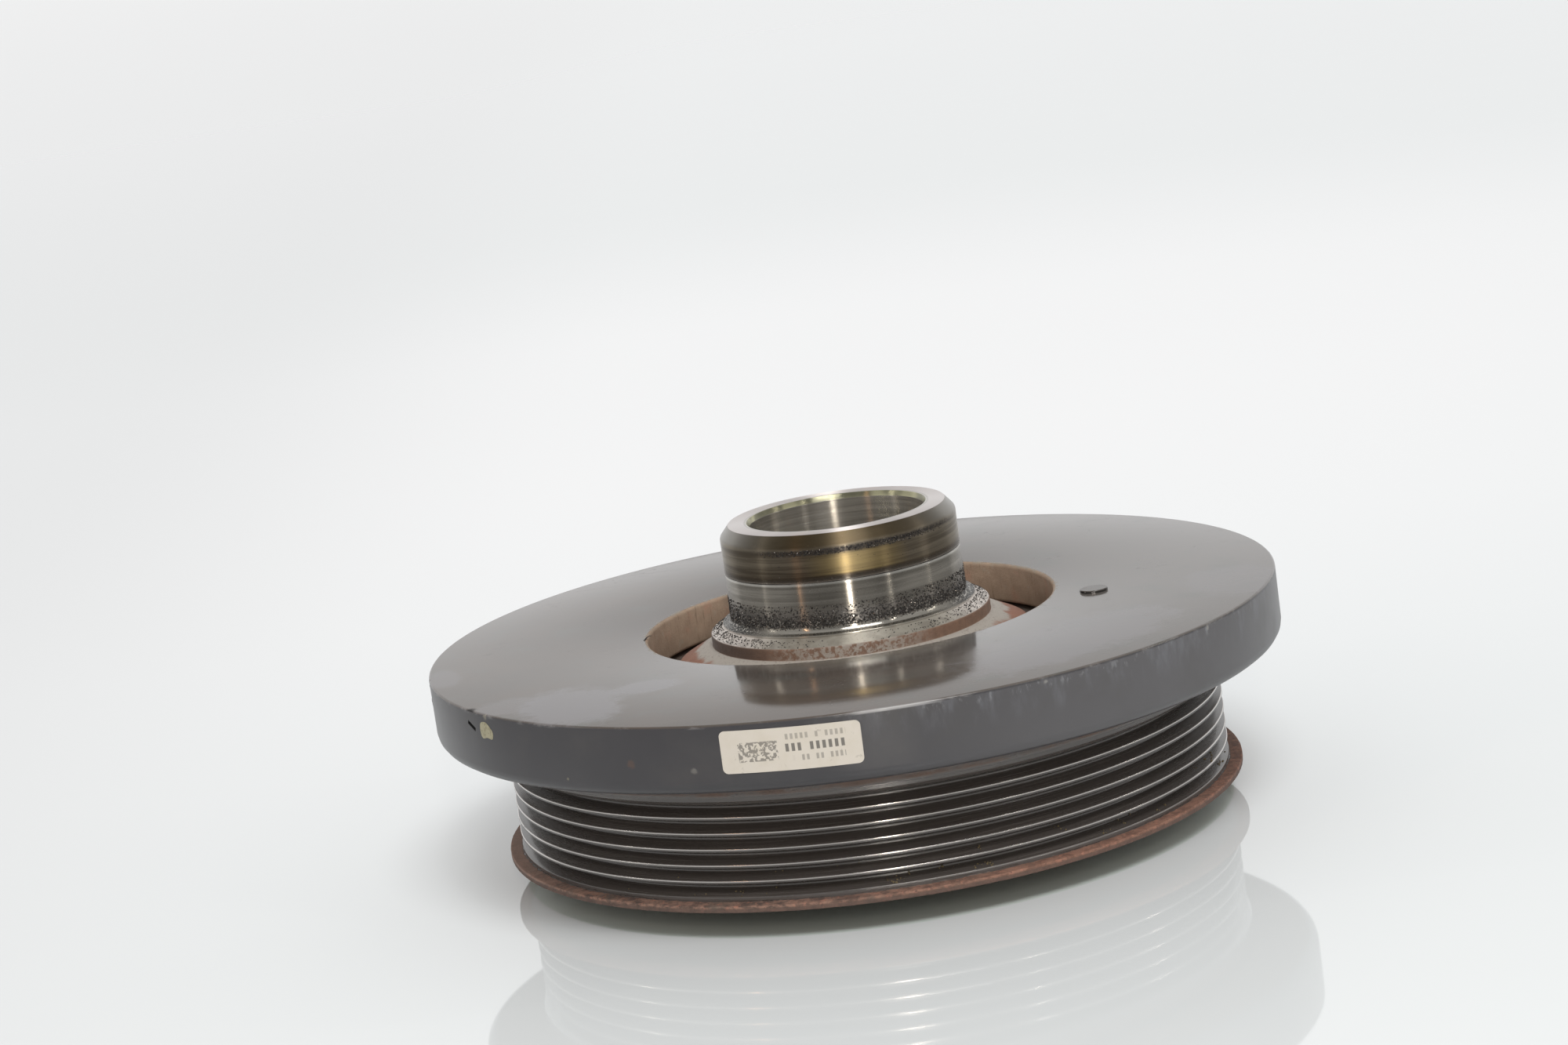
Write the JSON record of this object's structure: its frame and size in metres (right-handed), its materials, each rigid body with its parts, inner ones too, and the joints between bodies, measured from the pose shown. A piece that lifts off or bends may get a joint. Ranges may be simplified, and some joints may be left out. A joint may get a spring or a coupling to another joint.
{
  "type": "crankshaft pulley",
  "caption": "Decoupled crankshaft pulley with a torsional vibration damper: ribbed belt rim, heavy inertia ring and a hub with a seal sleeve.",
  "frame": {"origin": "on the axis, in the plane of the hub's nose face, which the pulley rests on", "axes": "+Z along the axis towards the engine, out of the crankshaft bore; the sticker faces -Y"},
  "size_m": [0.1966, 0.1967, 0.0753],
  "materials": {
    "machined_steel": "turned, oily and worn",
    "cast_ring": "dark coating, dusty, with specks of rust",
    "dark_steel": "dark satin coating, worn bright on the rib crests",
    "rubber": "matt",
    "bearing_plastic": "smooth",
    "label_film": "matt printed film"
  },
  "bodies": {
    "root": {"hub": "machined_steel", "inertia_ring": "cast_ring", "damper_rubber": "rubber", "belt_pulley": "dark_steel", "decoupler_rubber": "rubber", "decoupler_inner_sleeve": "machined_steel", "decoupler_outer_sleeve": "machined_steel", "bearing_bush": "bearing_plastic", "thrust_ring": "bearing_plastic", "balance_pin": "machined_steel", "label": "label_film"}
  },
  "joints": []
}
